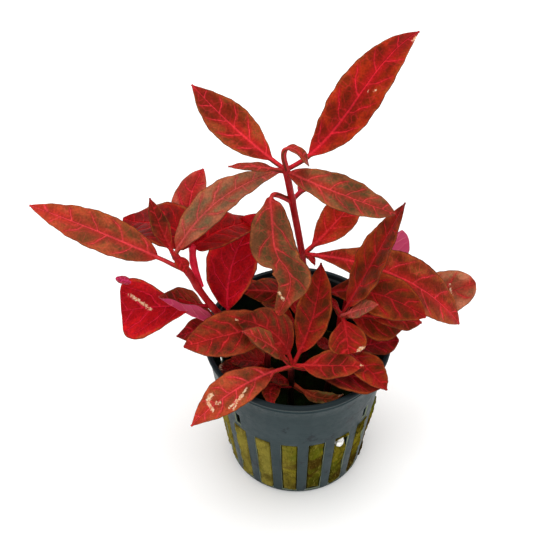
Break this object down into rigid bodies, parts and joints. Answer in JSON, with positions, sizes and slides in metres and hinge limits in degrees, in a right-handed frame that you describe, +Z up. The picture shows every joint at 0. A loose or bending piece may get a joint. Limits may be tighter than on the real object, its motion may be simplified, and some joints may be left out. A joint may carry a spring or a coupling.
{
  "type": "potted alternanthera",
  "caption": "Small aquatic foliage plant with crimson and brown lance-shaped leaves on pink stems, rooted in a rockwool plug inside a slotted net pot.",
  "frame": {"origin": "middle of the pot's flat underside", "axes": "+Z up along the pot's axis, -Y towards the plant's front"},
  "size_m": [0.1297, 0.0625, 0.1386],
  "materials": {
    "net_pot": "satin slate moulded plastic",
    "rockwool_plug": "fibrous, damp, yellow-olive with moss",
    "white_granule": "matt white mineral grain",
    "tall_leafy_stem": "satin leaf",
    "left_leafy_stem": "satin leaf",
    "right_leafy_stem": "satin leaf",
    "back_leafy_stem": "satin leaf",
    "front_leafy_stem": "satin leaf",
    "low_leafy_stem": "satin leaf"
  },
  "bodies": {
    "root": {"net_pot": "net_pot", "rockwool_plug": "rockwool_plug", "white_granule": "white_granule", "tall_leafy_stem": "tall_leafy_stem", "left_leafy_stem": "left_leafy_stem", "right_leafy_stem": "right_leafy_stem", "back_leafy_stem": "back_leafy_stem", "front_leafy_stem": "front_leafy_stem", "low_leafy_stem": "low_leafy_stem"}
  },
  "joints": []
}
